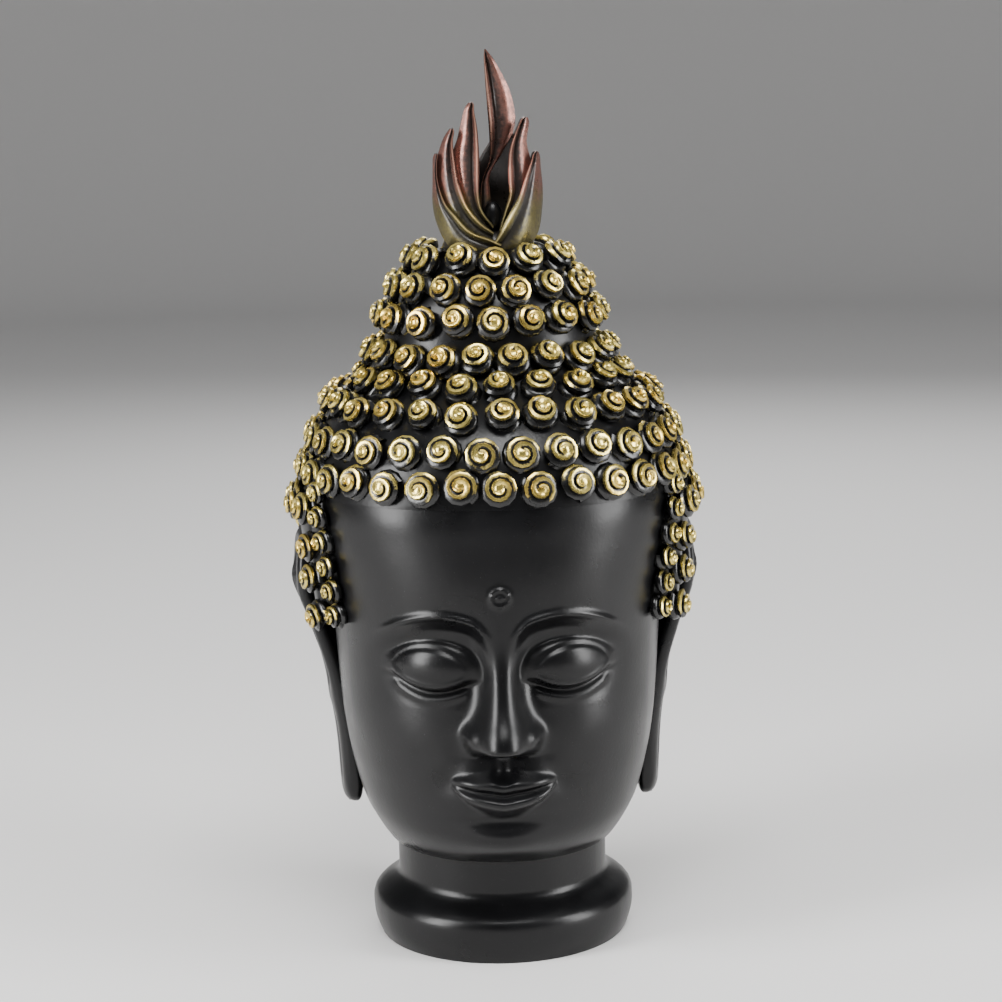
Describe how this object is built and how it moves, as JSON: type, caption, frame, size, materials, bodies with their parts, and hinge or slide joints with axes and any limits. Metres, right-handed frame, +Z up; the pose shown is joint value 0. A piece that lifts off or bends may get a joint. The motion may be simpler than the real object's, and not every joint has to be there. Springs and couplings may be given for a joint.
{
  "type": "buddha head statue",
  "caption": "Serene head with snail curls, long ears and a flame finial, cast in one piece with a round rimmed stand under its neck",
  "frame": {"origin": "centre of the flat underside of the stand", "axes": "+Z up along the head, the face looks toward -Y, +X to the viewer's right"},
  "size_m": [0.141, 0.1578, 0.2974],
  "materials": {
    "black_resin": "cast resin under satin black paint, with gold dry-brushed on the curls' spirals and antique copper on the flame"
  },
  "bodies": {
    "root": {"buddha_head": "black_resin"}
  },
  "joints": []
}
